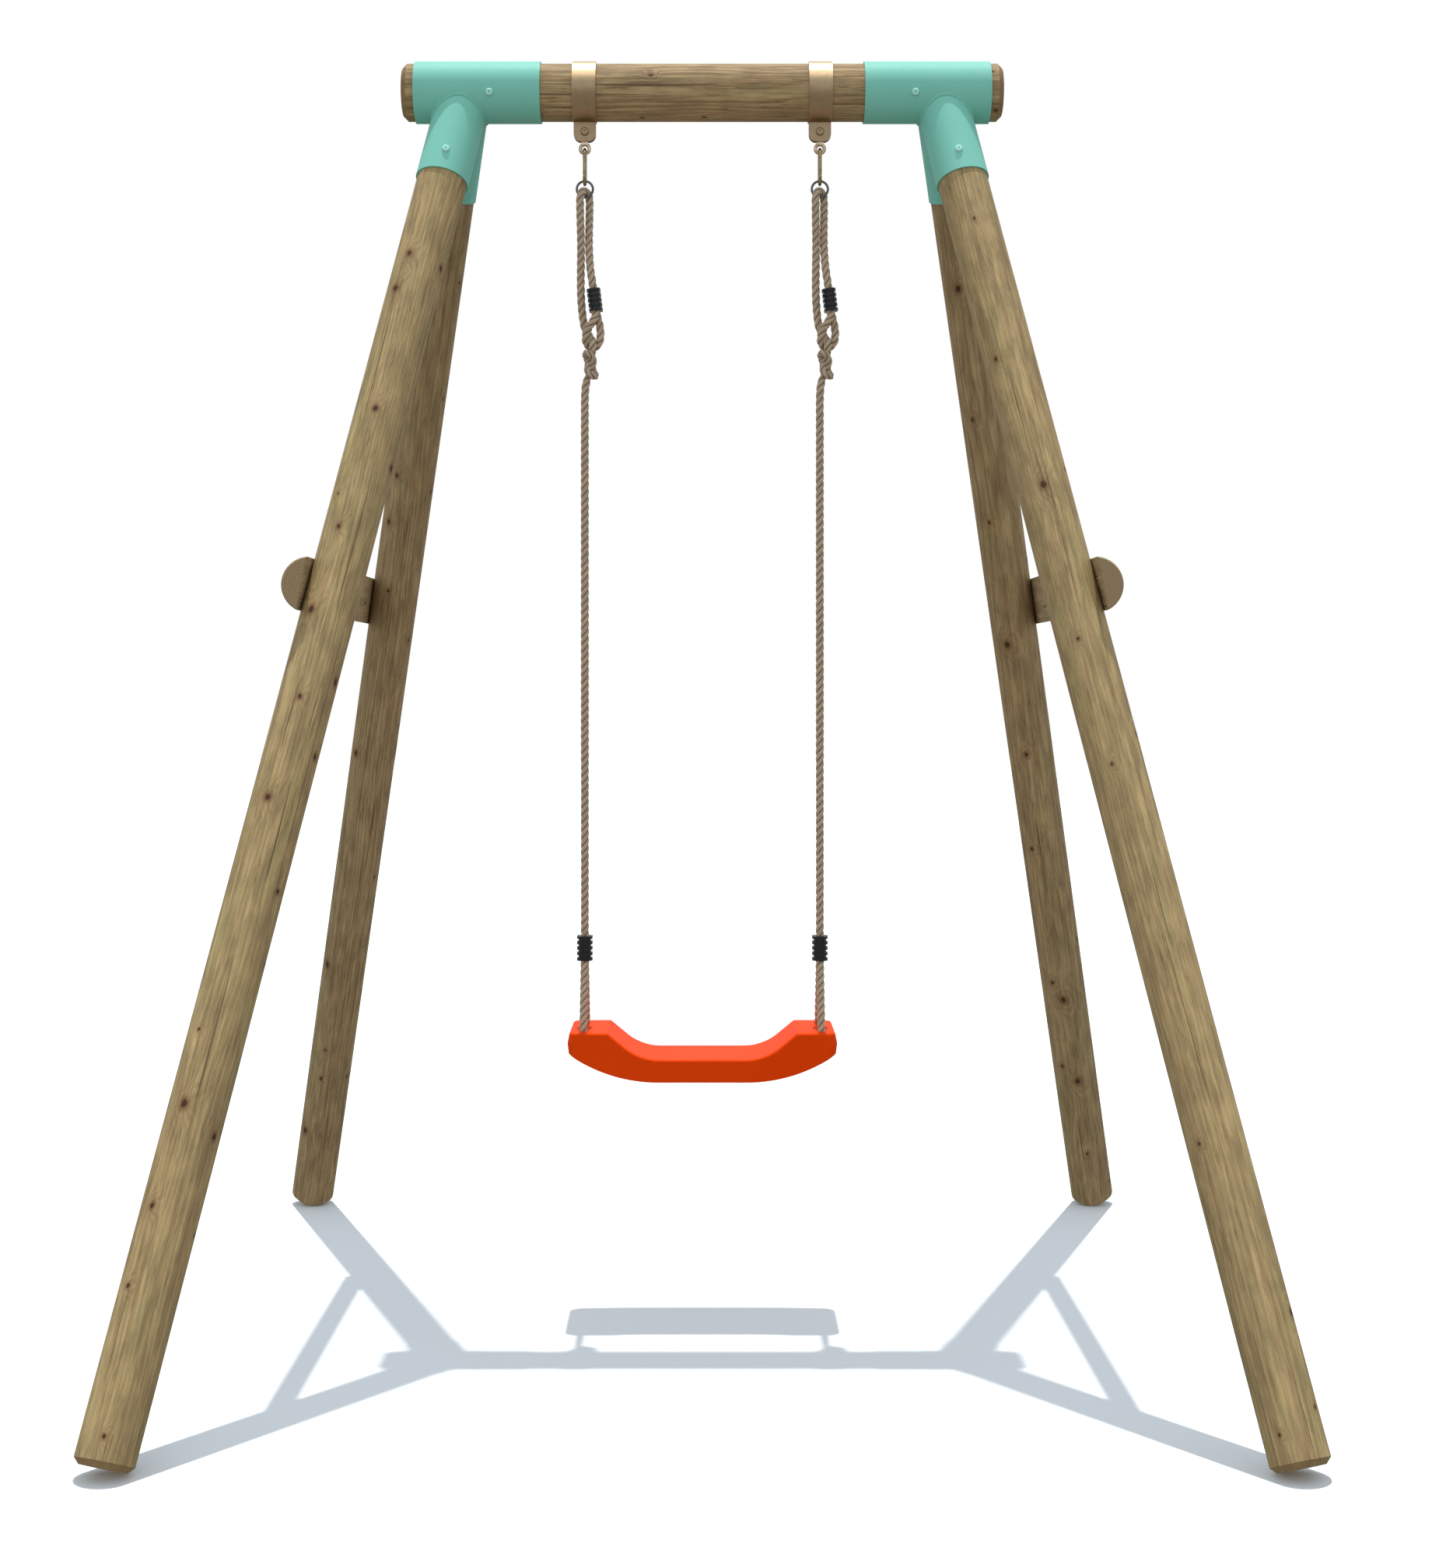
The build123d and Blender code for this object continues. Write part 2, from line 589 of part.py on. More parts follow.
with BuildPart() as seat:
    with BuildSketch(Plane.XZ.offset(-SEAT_DEPTH / 2)):
        with BuildLine():
            for sign in (-1, 1):
                seat_side(sign, 0)
                Line((sign * RIM_IN, SEAT_RIM_Z), (sign * RIM_OUT, SEAT_RIM_Z))
                Line((sign * RIM_OUT, SEAT_RIM_Z), (sign * WIDEST[0], WIDEST[1]))
                Line((sign * WIDEST[0], WIDEST[1]), (sign * HEEL[0], HEEL[1]))
                seat_under(sign, 0)
        make_face()
    extrude(amount=SEAT_DEPTH)
    corners = [
        e
        for e in seat.edges().filter_by(GeomType.LINE)
        if abs(e.center().X) > RIM_OUT and abs(abs(e.center().Y) - SEAT_DEPTH / 2) < 1
    ]
    fillet([e for e in corners if abs(e.tangent_at(0).Y) < 0.5], SEAT_CORNER)
    tops = [f for f in seat.faces() if f.normal_at().Z > 0.3]
    rim = [
        e
        for f in tops
        for e in f.edges()
        if sum((e.center() - o.center()).length < 0.01 for g in tops for o in g.edges()) == 1
    ]
    fillet(rim, SEAT_RIM_ROUND)
    with BuildSketch(Plane.XZ.offset(-SEAT_DEPTH / 2 + SEAT_WALL)):
        with BuildLine():
            for sign in (-1, 1):
                inner = RIM_OUT - SEAT_WALL
                seat_side(sign, SEAT_WALL)
                Line((sign * RIM_IN, SEAT_RIM_Z - SEAT_WALL), (sign * inner, SEAT_RIM_Z - SEAT_WALL))
                Line((sign * inner, SEAT_RIM_Z - SEAT_WALL), (sign * inner, SEAT_LOW_Z - 5))
                Line((sign * inner, SEAT_LOW_Z - 5), (0, SEAT_LOW_Z - 5))
        make_face()
    extrude(amount=SEAT_DEPTH - 2 * SEAT_WALL, mode=Mode.SUBTRACT)
    add(ribs.part)
    hole_places = [
        (sx * ROPE_X, sy * SEAT_HOLE_Y, SEAT_RIM_Z) for sx in (-1, 1) for sy in (-1, 1)
    ]
    with Locations(*hole_places):
        Cylinder(
            SEAT_BOSS_R, SEAT_RIM_Z - SEAT_BOSS_LOW, align=(Align.CENTER, Align.CENTER, Align.MAX)
        )
    with Locations(*hole_places):
        CounterSinkHole(SEAT_HOLE_R, SEAT_HOLE_R + 2, depth=30)
keep(seat, "seat")
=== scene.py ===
"""Looks of the swing set: round pine posts, painted corner brackets, laid ropes and a moulded seat.
Everything is in metres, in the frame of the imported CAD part: X is across, Y is to the back and Z is up."""

import math

import bpy
import numpy as np
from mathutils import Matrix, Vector


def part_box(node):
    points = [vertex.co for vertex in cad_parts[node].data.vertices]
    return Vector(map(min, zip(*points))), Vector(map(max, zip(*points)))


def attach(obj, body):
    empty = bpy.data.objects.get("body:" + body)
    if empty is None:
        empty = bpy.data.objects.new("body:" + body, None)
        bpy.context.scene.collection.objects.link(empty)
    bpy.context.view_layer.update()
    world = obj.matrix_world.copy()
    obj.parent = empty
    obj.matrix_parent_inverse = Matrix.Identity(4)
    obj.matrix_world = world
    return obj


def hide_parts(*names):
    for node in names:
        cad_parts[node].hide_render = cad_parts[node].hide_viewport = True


# Driving dimensions, the same as in the CAD part
SIDES = {"left": -1, "right": 1}
DEPTHS = {"front": -1, "rear": 1}
ROPE_X = 0.197
ROPE_DIAMETER = 0.011
BEAM_Z = 2.0435
BEAM_RADIUS = 0.0475
LEG_APEX = Vector((0.400, 0, 2.0335))
LEG_FOOT = Vector((0.7924, 0.8291, 0.01365))
LEG_RADIUS = 0.041
BRACE_Z = 1.1955
SLEEVE_RADIUS = 0.051
SOCKET_RADIUS = 0.0437

# The rope's route, as offsets from its vertical line: right, back and height. It leaves the lower crimp,
# makes the stopper knot, passes through its own eye, goes over the ring and comes back down into the upper
# crimp, makes the eye and ends in the same crimp.
ROPE_ROUTE = [
    # Lower crimp and the long straight stretch
    (0, 0, 0.612), (0, 0, 1.490), (0, 0, 1.551),
    # Stopper knot: a tight overhand knot
    (0.0065, 0.0005, 1.5705), (0.0145, -0.003, 1.5855), (0.0145, -0.0095, 1.598), (0.0075, -0.0135, 1.6045),
    (0.001, -0.006, 1.607), (0.0015, 0.005, 1.600), (0.0085, 0.0095, 1.5885), (0.0105, 0.0095, 1.5845),
    (0.0175, 0.005, 1.573), (0.018, -0.006, 1.566), (0.0115, -0.0135, 1.5685), (0.0045, -0.0095, 1.575),
    (0.0045, -0.003, 1.5875), (0.0125, 0.0005, 1.6025),
    # Up through the eye
    (0.0125, -0.0065, 1.613), (0.014, -0.005, 1.621), (0.0125, 0.0015, 1.629), (0.006, 0.008, 1.638),
    (-0.0005, 0.0095, 1.649), (-0.003, 0.0085, 1.662), (-0.005, 0.005, 1.678), (-0.0065, 0.0015, 1.698),
    # Over the ring and down to the upper crimp
    (-0.007, 0, 1.730), (-0.006, -0.002, 1.790), (-0.0075, -0.0094, 1.842), (-0.0075, -0.0094, 1.8785),
    (0.0075, 0.0094, 1.8785), (0.0075, 0.0094, 1.842), (0.0065, 0.002, 1.790), (0.009, -0.005, 1.748),
    (0.0135, -0.0057, 1.722), (0.0197, -0.0057, 1.671),
    # The eye, and back into the upper crimp
    (0.0148, -0.009, 1.6605), (0.0065, -0.008, 1.6485), (0.001, -0.0045, 1.6355), (0.002, 0.005, 1.6225),
    (0.011, 0.0095, 1.6165), (0.0225, 0.007, 1.621), (0.0268, 0.004, 1.636), (0.025, 0.005, 1.655),
    (0.0197, 0.0057, 1.671), (0.0155, 0.0057, 1.706),
]

# The seat rope's route, from the lower crimp through the front hole, under the seat and back
SEAT_ROUTE = [
    (0, -0.0056, 0.600), (0, -0.0056, 0.588), (0, -0.0377, 0.513), (0, -0.050, 0.484), (0, -0.050, 0.4495),
    (0, -0.0185, 0.4495), (0, 0.0185, 0.4495), (0, 0.050, 0.4495), (0, 0.050, 0.484), (0, 0.0377, 0.513),
    (0, 0.0056, 0.588), (0, 0.0056, 0.600),
]


# ---------------------------------------------------------------- helpers

def rgb(red, green, blue):
    return (red, green, blue, 1.0)


def leg_axis(sign, depth):
    """A leg's foot and apex. sign is -1 for the left and 1 for the right, and depth is -1 for the front."""
    foot = Vector((sign * LEG_FOOT.x, depth * LEG_FOOT.y, LEG_FOOT.z))
    return foot, Vector((sign * LEG_APEX.x, 0, LEG_APEX.z))


def joined_rings(low, high, count):
    """Faces between two rings of that many vertices, whose first ones have the numbers low and high."""
    return [(low + k, low + (k + 1) % count, high + (k + 1) % count, high + k) for k in range(count)]


def smooth_piece(name, vertices, faces, material):
    """A new smooth-shaded object with this mesh and material."""
    mesh = bpy.data.meshes.new(name)
    mesh.from_pydata([tuple(v) for v in vertices], [], faces)
    mesh.polygons.foreach_set("use_smooth", [True] * len(mesh.polygons))
    mesh.materials.append(material)
    mesh.update()
    piece = bpy.data.objects.new(name, mesh)
    bpy.context.scene.collection.objects.link(piece)
    return piece


def dress(node, material):
    """Gives a CAD node's own object this material."""
    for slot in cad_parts[node].material_slots:
        slot.material = material


# ---------------------------------------------------------------- material graphs

# The mix node has sockets of the same name for each type of data, so its colour ones go by number
MIX_SHARE, MIX_COLOUR_A, MIX_COLOUR_B, MIX_COLOUR_OUT = 0, 6, 7, 2


class Graph:
    """A material's node tree, with short calls that add linked nodes."""

    def __init__(self, name):
        self.material = bpy.data.materials.new(name)
        self.material.use_nodes = True
        self.tree = self.material.node_tree
        self.tree.nodes.clear()

    def add(self, kind, inputs=None, **settings):
        """A new node with these settings. An input is a number, a tuple or another node's output."""
        node = self.tree.nodes.new(kind)
        for key, value in settings.items():
            setattr(node, key, value)
        for key, value in (inputs or {}).items():
            if isinstance(value, bpy.types.NodeSocket):
                self.tree.links.new(value, node.inputs[key])
            else:
                node.inputs[key].default_value = value
        return node

    def math(self, operation, a, b=0.0):
        return self.add("ShaderNodeMath", {0: a, 1: b}, operation=operation).outputs[0]

    def vector(self, operation, a, b=(0, 0, 0)):
        node = self.add("ShaderNodeVectorMath", {0: a, 1: b}, operation=operation)
        return node.outputs["Value" if operation in ("DOT_PRODUCT", "LENGTH") else "Vector"]

    def join(self, x, y, z=0.0):
        return self.add("ShaderNodeCombineXYZ", {0: x, 1: y, 2: z}).outputs[0]

    def split(self, vector):
        return self.add("ShaderNodeSeparateXYZ", {0: vector}).outputs

    def noise(self, vector, scale, detail=2.0, roughness=0.5, output="Fac"):
        inputs = {"Vector": vector, "Scale": scale, "Detail": detail, "Roughness": roughness}
        return self.add("ShaderNodeTexNoise", inputs).outputs[output]

    def span(self, value, low, high, to_low=0.0, to_high=1.0):
        """Value mapped smoothly from low..high to to_low..to_high, and held beyond them."""
        inputs = {"Value": value, "From Min": low, "From Max": high, "To Min": to_low, "To Max": to_high}
        return self.add("ShaderNodeMapRange", inputs, interpolation_type="SMOOTHSTEP").outputs[0]

    def mix(self, share, a, b, blend="MIX"):
        """Colour a, changed by colour b to that share."""
        inputs = {MIX_SHARE: share, MIX_COLOUR_A: a, MIX_COLOUR_B: b}
        node = self.add("ShaderNodeMix", inputs, data_type="RGBA", blend_type=blend)
        return node.outputs[MIX_COLOUR_OUT]

    def bump(self, height, distance, strength):
        """The surface's normal over that relief. distance is in metres."""
        inputs = {"Height": height, "Distance": distance, "Strength": strength}
        return self.add("ShaderNodeBump", inputs).outputs[0]

    def place(self):
        """Coordinates in metres in the part's own frame."""
        return self.add("ShaderNodeTexCoord").outputs["Object"]

    def finish(self, **inputs):
        """Ends the graph in a principled shader with these inputs, and gives back the material."""
        shader = self.add("ShaderNodeBsdfPrincipled", {k.replace("_", " "): v for k, v in inputs.items()})
        self.add("ShaderNodeOutputMaterial", {"Surface": shader.outputs[0]})
        return self.material


# ---------------------------------------------------------------- timber

PINE_TONES = {
    # early wood, late wood, green tint, pink tint
    "front": (rgb(0.420, 0.305, 0.141), rgb(0.235, 0.15, 0.064),
              rgb(0.34, 0.291, 0.118), rgb(0.403, 0.264, 0.136)),
    # The rear legs' tones are darker than the front's: partly the timber's own tone, partly painted shade for
    # the rear legs, which stand in deeper shade
    "rear": (rgb(0.385, 0.28, 0.137), rgb(0.205, 0.125, 0.054),
             rgb(0.30, 0.25, 0.107), rgb(0.38, 0.24, 0.13)),
    "beam": (rgb(0.425, 0.303, 0.148), rgb(0.19, 0.105, 0.045),
             rgb(0.33, 0.27, 0.115), rgb(0.41, 0.26, 0.14)),
    "brace": (rgb(0.44, 0.33, 0.18), rgb(0.27, 0.18, 0.088),
              rgb(0.34, 0.29, 0.14), rgb(0.42, 0.28, 0.16)),
}
KNOT_WOOD, KNOT_RIM = rgb(0.050, 0.020, 0.008), rgb(0.19, 0.095, 0.038)
PAINTED_CHECK_SHADE = rgb(0.080, 0.045, 0.022)  # painted shade inside a drying check
# Each piece has its own seed, so no two pieces have the same grain
GRAIN_SEEDS = {
    "front_left_leg": 1, "rear_left_leg": 6, "front_right_leg": 3, "rear_right_leg": 8,
    "left_brace": 14, "right_brace": 15, "top_beam": 21,
}
TOWARD_FRONT = Vector((0, -1, 0))
RING_WIDTH = 0.0031
RIPPLE_DEPTH = 0.009  # how far the rings waver
KNOT_PUSH = 0.0060  # how far the rings bend round a knot
PITH_OFF = (0.017, 0.021)  # how far the pith is from the axis, along the side seen most and across it
KNOTS_AROUND, KNOTS_ALONG = 14.0, 10.5  # knot cells per metre
KNOT_FREE_SHARE = 0.58  # of those cells
KNOT_SIZES = (0.030, 0.085)  # in cells
KNOT_UNEVEN = 0.05  # in cells
GRAIN_DEPTH = 0.0006
# Patterns in the wood, as how fine they are across the grain and along it, per metre
KNOT_OUTLINE = (150, 110)
RIPPLE = (38, 3.2)
FIBRE = (700, 12)
FLECK = (330, 26)
STREAK = (170, 3.4)
BAND = (48, 2.2)
BLOTCH = (55, 17)
DRYING_CHECK = (260, 3.0)


def pine(node, tone, start, end, side, radius=LEG_RADIUS, contrast=0.42, pith_turn=None,
         wave=(1.1, 0.030)):
    """Dresses a node in round pine: growth rings about a pith off the axis, fibres, knots and end grain.
    start and end are points on the post's axis, and side is roughly the side that is seen most.
    contrast is how strongly late wood shows in the rings, pith_turn is the direction from the pith to the
    axis, as an angle from side, and wave is how often the pith wanders, per metre, and how far."""
    early, late, green, pink = PINE_TONES[tone]
    seed = GRAIN_SEEDS[node]
    along = (end - start).normalized()
    across = (side - side.project(along)).normalized()
    third = along.cross(across)
    g = Graph(f"pine_{node}")
    local = g.vector("SUBTRACT", g.place(), tuple(start))
    u = g.vector("DOT_PRODUCT", local, tuple(across))
    v = g.vector("DOT_PRODUCT", local, tuple(third))
    w = g.math("ADD", g.vector("DOT_PRODUCT", local, tuple(along)), seed * 3.7)

    def stretched(fineness):
        """Coordinates for a pattern that is that fine across the grain and along it, per metre."""
        across_scale, along_scale = fineness
        return g.join(g.math("MULTIPLY", u, across_scale), g.math("MULTIPLY", v, across_scale),
                      g.math("MULTIPLY", w, along_scale))

    # Knots: sparse spots on the unrolled surface. The arc's seam is on the side that is seen least.
    arc = g.math("MULTIPLY", g.math("ARCTAN2", v, u), radius)
    uneven = g.math("MULTIPLY", g.noise(stretched(KNOT_OUTLINE), 1.0), KNOT_UNEVEN)
    knot_cells = g.join(g.math("ADD", g.math("MULTIPLY", arc, KNOTS_AROUND), uneven),
                        g.math("ADD", g.math("MULTIPLY", w, KNOTS_ALONG), uneven))
    cells = g.add("ShaderNodeTexVoronoi", {"Vector": knot_cells, "Scale": 1.0}, voronoi_dimensions="2D")
    knot_random = g.split(cells.outputs["Color"])
    has_knot = g.math("GREATER_THAN", knot_random[0], KNOT_FREE_SHARE)
    knot_size = g.span(knot_random[1], 0.0, 1.0, *KNOT_SIZES)
    knot_distance = g.math("DIVIDE", cells.outputs["Distance"], knot_size)
    knot = g.math("MULTIPLY", g.span(knot_distance, 0.45, 1.0, 1.0, 0.0), has_knot)
    rim = g.math("MULTIPLY", g.span(knot_distance, 0.8, 2.1, 1.0, 0.0), has_knot)
    halo = g.math("MULTIPLY", g.span(knot_distance, 0.8, 5.5, 1.0, 0.0), has_knot)

    # Growth rings. The pith lies well to one side, so the rings meet the surface as lines along the post.
    turn = seed * 2.4 if pith_turn is None else pith_turn
    off_axis = (PITH_OFF[0] * math.cos(turn), PITH_OFF[1] * math.sin(turn), 0.0)
    often, far = wave
    wander = g.noise(g.join(0.0, seed * 5.1, g.math("MULTIPLY", w, often)), 1.0, 2.0, output="Color")
    wander = g.vector("MULTIPLY", g.vector("SUBTRACT", wander, (0.5, 0.5, 0.5)), (far, far, 0.0))
    pith = g.vector("ADD", g.vector("ADD", g.join(u, v), wander), off_axis)
    ripple = g.noise(stretched(RIPPLE), 1.0)
    ring_radius = g.math("ADD", g.vector("LENGTH", pith), g.math("MULTIPLY", ripple, RIPPLE_DEPTH))
    ring_radius = g.math("ADD", ring_radius, g.math("MULTIPLY", halo, KNOT_PUSH))
    ring = g.math("FRACT", g.math("DIVIDE", ring_radius, RING_WIDTH))
    late_share = g.math("MULTIPLY", g.span(ring, 0.15, 0.80), g.span(ring, 0.88, 1.0, 1.0, 0.0))

    # Fibres, flecks, streaks, blotches and long bands of colour along the post
    fibre = g.noise(stretched(FIBRE), 1.0, 3.0, 0.6)
    fleck = g.noise(stretched(FLECK), 1.0, 2.0, 0.6)
    streak = g.noise(stretched(STREAK), 1.0, 2.0, 0.55)
    band = g.split(g.noise(stretched(BAND), 1.0, 2.0, 0.55, "Color"))
    blotch = g.noise(stretched(BLOTCH), 1.0, 3.0, 0.6)

    colour = g.mix(g.math("MULTIPLY", late_share, contrast), early, late)
    colour = g.mix(g.span(band[0], 0.50, 0.68, 0.0, 0.45), colour, green)
    colour = g.mix(g.span(band[1], 0.52, 0.70, 0.0, 0.40), colour, pink)
    colour = g.mix(g.span(streak, 0.47, 0.70, 0.0, 0.50), colour, late)
    colour = g.mix(g.span(fleck, 0.54, 0.72, 0.0, 0.75), colour, late)
    shade = g.math("MULTIPLY", g.span(fibre, 0.25, 0.75, 0.80, 1.18), g.span(blotch, 0.3, 0.7, 0.80, 1.15))
    colour = g.mix(1.0, colour, g.join(shade, shade, shade), "MULTIPLY")
    # Drying checks: long dark hairlines, painted shade inside the cracks
    check = g.span(g.noise(stretched(DRYING_CHECK), 1.0, 1.0), 0.69, 0.73)
    colour = g.mix(g.math("MULTIPLY", check, 0.7), colour, PAINTED_CHECK_SHADE)
    colour = g.mix(g.math("MULTIPLY", halo, 0.30), colour, late)
    colour = g.mix(g.math("MULTIPLY", rim, 0.75), colour, KNOT_RIM)
    colour = g.mix(g.math("MULTIPLY", knot, 0.94), colour, KNOT_WOOD)

    # Cut faces: the chamfer and the end are darker
    normal = g.add("ShaderNodeNewGeometry").outputs["Normal"]
    facing = g.math("ABSOLUTE", g.vector("DOT_PRODUCT", normal, tuple(along)))
    chamfer = g.math("MULTIPLY", g.span(facing, 0.25, 0.5), g.span(facing, 0.85, 0.97, 1.0, 0.0))
    cut = g.span(facing, 0.85, 0.97)
    colour = g.mix(g.math("MULTIPLY", chamfer, 0.60), colour, late)
    end_grain = g.mix(late_share, g.mix(0.30, early, late), g.mix(0.25, late, KNOT_WOOD))
    colour = g.mix(cut, colour, end_grain)

    height = g.math("ADD", g.math("MULTIPLY", fibre, 0.6), g.math("MULTIPLY", late_share, 0.3))
    height = g.math("SUBTRACT", height, g.math("ADD", check, knot))
    rough = g.span(fibre, 0.3, 0.7, 0.62, 0.82)
    dress(node, g.finish(Base_Color=colour, Roughness=rough, Normal=g.bump(height, GRAIN_DEPTH, 0.5),
                         Specular_IOR_Level=0.25))


def timber():
    """Each piece of timber has its own grain."""
    for side, sign in SIDES.items():
        for where, depth in DEPTHS.items():
            foot, apex = leg_axis(sign, depth)
            pine(f"{where}_{side}_leg", where, foot, apex, TOWARD_FRONT)
        low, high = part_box(f"{side}_brace")
        middle = (low + high) / 2
        start = Vector((middle.x, low.y, BRACE_Z))
        end = Vector((middle.x, high.y, BRACE_Z))
        pine(f"{side}_brace", "brace", start, end, side=Vector((-sign, 0, 0)))
    low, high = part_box("top_beam")
    start, end = Vector((low.x, 0, BEAM_Z)), Vector((high.x, 0, BEAM_Z))
    pine("top_beam", "beam", start, end, TOWARD_FRONT, radius=BEAM_RADIUS, contrast=0.58,
         pith_turn=math.pi, wave=(2.0, 0.017))


# ---------------------------------------------------------------- metal and plastic

PAINT_DEPTH = 0.00018
DRAWING_DEPTH = 0.00002
MOULD_DEPTH = 0.00012


def powder_coat(name, base, light):
    """Satin paint with a slight orange peel and a lighter, thinner coat in places."""
    g = Graph(name)
    place = g.place()
    cloud = g.noise(place, 14, 3.0)
    peel = g.noise(place, 420, 2.0)
    grain = g.noise(place, 2600, 1.0)
    colour = g.mix(g.span(cloud, 0.35, 0.7, 0.0, 0.35), base, light)
    rough = g.span(peel, 0.3, 0.7, 0.50, 0.60)
    height = g.math("ADD", peel, g.math("MULTIPLY", grain, 0.25))
    return g.finish(Base_Color=colour, Roughness=rough, Normal=g.bump(height, PAINT_DEPTH, 0.3),
                    Specular_IOR_Level=0.14)


def metal(name, base, dark, low_rough, high_rough, stretch=(60, 60, 900), tarnish=0.5, relief=0.3):
    """Bare or plated metal: fine drawing lines, and darker in patches. stretch is how fine the lines are
    along each axis, per metre, tarnish is how dark the patches get, and relief is how strongly lines show."""
    g = Graph(name)
    place = g.place()
    lines = g.noise(g.vector("MULTIPLY", place, stretch), 1.0, 2.0)
    cloud = g.noise(place, 90, 3.0, 0.6)
    colour = g.mix(g.span(cloud, 0.4, 0.72, 0.0, tarnish), base, dark)
    rough = g.span(lines, 0.3, 0.7, low_rough, high_rough)
    return g.finish(Base_Color=colour, Metallic=1.0, Roughness=rough,
                    Normal=g.bump(lines, DRAWING_DEPTH, relief))


def moulded(name, base, light, low_rough, high_rough, specular):
    """Moulded plastic: an even colour with faint flow clouds, a fine grain and light scuffs."""
    g = Graph(name)
    place = g.place()
    cloud = g.noise(place, 9, 3.0)
    grain = g.noise(place, 1500, 2.0, 0.6)
    scuff = g.span(g.noise(g.vector("MULTIPLY", place, (260, 30, 60)), 1.0, 3.0, 0.65), 0.62, 0.78)
    colour = g.mix(g.span(cloud, 0.35, 0.7, 0.0, 0.35), base, light)
    colour = g.mix(g.math("MULTIPLY", scuff, 0.10), colour, light)
    rough = g.math("ADD", g.span(grain, 0.3, 0.7, low_rough, high_rough), g.math("MULTIPLY", scuff, 0.08))
    return g.finish(Base_Color=colour, Roughness=rough, Normal=g.bump(grain, MOULD_DEPTH, 0.5),
                    Specular_IOR_Level=specular)


def metal_and_plastic():
    """Dresses everything that isn't timber or rope, and gives back the brackets' paint for the welds."""
    paint = powder_coat("bracket_paint", rgb(0.205, 0.555, 0.445), rgb(0.235, 0.59, 0.485))
    # The screw heads get a much lighter copy of the bracket paint: a painted highlight for the glint on their
    # domes
    painted_highlight_heads = powder_coat("screw_paint", rgb(0.42, 0.80, 0.69), rgb(0.56, 0.88, 0.79))
    zinc = metal("zinc_fixings", rgb(0.42, 0.35, 0.25), rgb(0.26, 0.20, 0.13), 0.30, 0.45)
    clamp = metal("clamp_steel", rgb(0.43, 0.31, 0.180), rgb(0.33, 0.225, 0.125), 0.36, 0.39,
                  stretch=(40, 500, 500), tarnish=0.35, relief=0.08)
    brass = metal("eye_brass", rgb(0.74, 0.60, 0.39), rgb(0.34, 0.24, 0.13), 0.16, 0.26)
    bronze = metal("hook_bronze", rgb(0.40, 0.29, 0.165), rgb(0.17, 0.11, 0.055), 0.18, 0.28)
    dark = metal("ring_steel", rgb(0.16, 0.17, 0.18), rgb(0.07, 0.07, 0.08), 0.25, 0.38)
    black = moulded("crimp_plastic", rgb(0.005, 0.005, 0.006), rgb(0.012, 0.012, 0.013), 0.26, 0.34, 0.45)
    seat = moulded("seat_plastic", rgb(0.80, 0.054, 0.0015), rgb(0.85, 0.068, 0.004), 0.40, 0.50, 0.025)
    for side in SIDES:
        dress(f"{side}_bracket", paint)
        dress(f"{side}_bracket_screws", painted_highlight_heads)
        for part in ("brace_washers", "brace_screws", "gate_pin"):
            dress(f"{side}_{part}", zinc)
        for part in ("beam_clamp", "clamp_bolt", "clamp_nut"):
            dress(f"{side}_{part}", clamp)
        dress(f"{side}_hanger_eye", brass)
        for part in ("snap_hook", "hook_gate"):
            dress(f"{side}_{part}", bronze)
        dress(f"{side}_rope_ring", dark)
        for part in ("upper_crimp", "lower_crimp"):
            dress(f"{side}_{part}", black)
    dress("seat", seat)
    return paint


# ---------------------------------------------------------------- rope

STRANDS = 3
POINTS_PER_STRAND = 8
LAY = 0.039  # one full turn of a strand
STRAND_OFFSET = 0.42 * ROPE_DIAMETER / 2
STRAND_RADIUS = 0.83 * ROPE_DIAMETER / 2
RING_STEP = 0.0016  # between the outlines along a rope
ROUTE_STEPS = 24  # points read from the spline for each control point
KNOT_SPAN = (1.562, 1.610)  # heights of the stopper knot
KNOT_SQUEEZE = 0.86
KNOT_EASE = 0.008  # over which the rope narrows into the knot
YARNS = 27  # fine yarns counted around the rope
YARN_DEPTH = 0.0005
HEMP_PALE, HEMP_DULL, HEMP_FUZZ = rgb(0.62, 0.46, 0.315), rgb(0.54, 0.42, 0.275), rgb(0.75, 0.61, 0.44)
# Painted shade: the colours that the gaps between the yarns and the grooves between the strands are darkened
# toward
HEMP_PAINTED_YARN_GAP_SHADE, HEMP_PAINTED_GROOVE_SHADE = rgb(0.26, 0.17, 0.10), rgb(0.11, 0.07, 0.038)


def hemp(name):
    """Laid rope: pale crests, painted shade in the grooves between the strands and in the gaps between the
    fine yarns along the rope.
    """
    g = Graph(name)
    groove = g.add("ShaderNodeAttribute", attribute_name="groove").outputs["Fac"]
    lay = g.split(g.add("ShaderNodeAttribute", attribute_name="lay").outputs["Vector"])
    yarns = g.math("SINE", g.math("MULTIPLY", lay[0], 2 * math.pi * YARNS))
    place = g.place()
    fuzz = g.noise(g.vector("MULTIPLY", place, (2200, 2200, 500)), 1.0, 2.0, 0.7)
    cloud = g.noise(place, 45, 3.0)
    colour = g.mix(g.span(cloud, 0.35, 0.68), HEMP_PALE, HEMP_DULL)
    colour = g.mix(g.span(fuzz, 0.45, 0.8, 0.0, 0.5), colour, HEMP_FUZZ)
    # Painted shade, darker between the yarns and in the grooves between the strands
    colour = g.mix(g.span(yarns, -1.0, -0.2, 0.35, 0.0), colour, HEMP_PAINTED_YARN_GAP_SHADE)
    colour = g.mix(g.span(groove, 0.30, 0.92, 0.0, 0.90), colour, HEMP_PAINTED_GROOVE_SHADE)
    height = g.math("ADD", g.math("MULTIPLY", yarns, 0.5), g.math("MULTIPLY", fuzz, 0.8))
    return g.finish(Base_Color=colour, Roughness=0.88, Normal=g.bump(height, YARN_DEPTH, 0.8),
                    Sheen_Weight=0.25, Specular_IOR_Level=0.15)


